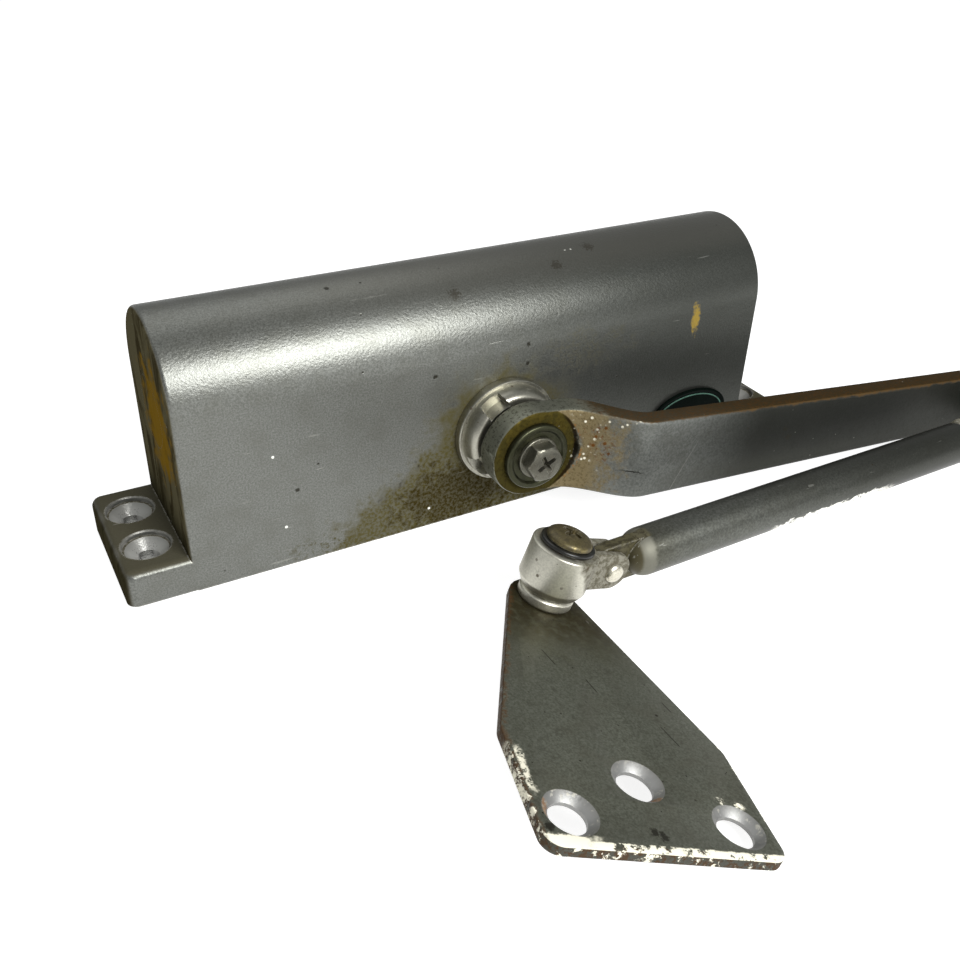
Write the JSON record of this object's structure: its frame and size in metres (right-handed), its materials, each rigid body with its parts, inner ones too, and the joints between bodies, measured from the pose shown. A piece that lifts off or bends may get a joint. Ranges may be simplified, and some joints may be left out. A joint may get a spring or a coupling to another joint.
{
  "type": "door closer",
  "caption": "Surface-mounted hydraulic door closer with a castellated spindle nut, a folded two-piece arm of adjustable length and a screw-on bracket plate.",
  "frame": {"origin": "centre of the face that is screwed to the door", "axes": "+X along the body towards the badge, +Y across it from the arm's side to the back, +Z away from the door"},
  "size_m": [0.3075, 0.197, 0.0735],
  "materials": {
    "body_paint": "silver-grey fine metallic paint over a cast body, oil-stained",
    "badge_trim": "black oval badge with a raised rim, left blank",
    "satin_nickel": "turned and satin nickel-plated steel",
    "arm_steel": "forged steel with worn silver paint and oil film",
    "tube_steel": "steel tube with worn silver paint",
    "plate_steel": "dark grey worn plate with oil and paint residue",
    "bright_steel": "zinc-plated steel, tarnished",
    "bare_steel": "machined steel under oil",
    "brass": "machined brass",
    "rubber": "black seal rubber",
    "ptfe": "white slide-ring plastic",
    "cap_plastic": "black moulded plastic"
  },
  "bodies": {
    "closer_body": {"housing": "body_paint", "badge": "badge_trim", "end_cap": "satin_nickel", "end_cap_o_ring": "rubber", "spring_plug": "satin_nickel", "spring_plug_o_ring": "rubber", "spring_seat": "bare_steel", "closing_spring": "bare_steel", "front_nut": "satin_nickel", "rear_nut": "satin_nickel", "front_bearing": "brass", "rear_bearing": "brass", "front_seal": "rubber", "rear_seal": "rubber", "rear_cap": "cap_plastic"},
    "spindle_arm": {"spindle": "bare_steel", "main_arm": "arm_steel", "arm_washer": "arm_steel", "arm_screw": "bright_steel", "elbow_stud": "bright_steel", "elbow_washer": "bright_steel", "elbow_ring": "rubber", "elbow_screw": "bright_steel"},
    "piston": {"rack_piston": "bare_steel", "piston_ring": "ptfe", "check_valve_seat": "brass", "check_ball": "bright_steel"},
    "forearm_rod": {"elbow_knuckle": "satin_nickel", "elbow_bush": "brass", "threaded_rod": "bright_steel"},
    "forearm": {"forearm_tube": "tube_steel", "jam_nut": "satin_nickel"},
    "swivel": {"swivel_fork": "satin_nickel", "fork_rivet": "bright_steel", "pivot_bush": "brass"},
    "shoe": {"bracket_plate": "plate_steel", "pivot_stud": "satin_nickel", "pivot_ring": "rubber", "pivot_screw": "bright_steel"},
    "closing_valve": {"closing_screw": "brass", "closing_o_ring": "rubber"},
    "latch_valve": {"latch_screw": "brass", "latch_o_ring": "rubber"}
  },
  "joints": [
    {"name": "spindle_turn", "type": "hinge", "parent": "closer_body", "child": "spindle_arm", "pos_m": [0.0006, -0.03, 0.0278], "axis": [0, -1, 0], "range_deg": [0, 165], "stiffness_Nm_per_rad": 2, "springref_deg": -57.3},
    {"name": "piston_slide", "type": "slide", "parent": "closer_body", "child": "piston", "axis": [-1, 0, 0], "range_m": [0, 0.0235], "deforming": ["closing_spring"]},
    {"name": "elbow_turn", "type": "hinge", "parent": "spindle_arm", "child": "forearm_rod", "pos_m": [0.18598, -0.0692, 0.0093], "axis": [0, 1, 0], "range_deg": [0, 170]},
    {"name": "forearm_length", "type": "slide", "parent": "forearm_rod", "child": "forearm", "axis": [-0.999, -0.0379, 0.0217], "range_m": [-0.012, 0.03]},
    {"name": "shoe_tilt", "type": "hinge", "parent": "forearm", "child": "swivel", "pos_m": [0.00107, -0.07621, 0.01331], "axis": [-0.0367, 0.998, 0.0505], "range_deg": [-40, 40]},
    {"name": "shoe_turn", "type": "hinge", "parent": "swivel", "child": "shoe", "pos_m": [-0.018, -0.0767, 0.0091], "axis": [0.3418, -0.0349, 0.9391], "range_deg": [-75, 40]},
    {"name": "closing_valve_turn", "type": "hinge", "parent": "closer_body", "child": "closing_valve", "pos_m": [0.09, -0.0095, 0.0175], "axis": [1, 0, 0], "range_deg": [-180, 180]},
    {"name": "latch_valve_turn", "type": "hinge", "parent": "closer_body", "child": "latch_valve", "pos_m": [0.09, 0.0095, 0.0175], "axis": [1, 0, 0], "range_deg": [-180, 180]}
  ],
  "couplings": [
    {"joint": "piston_slide", "follows": "spindle_turn", "m_per_rad": 0.008}
  ]
}
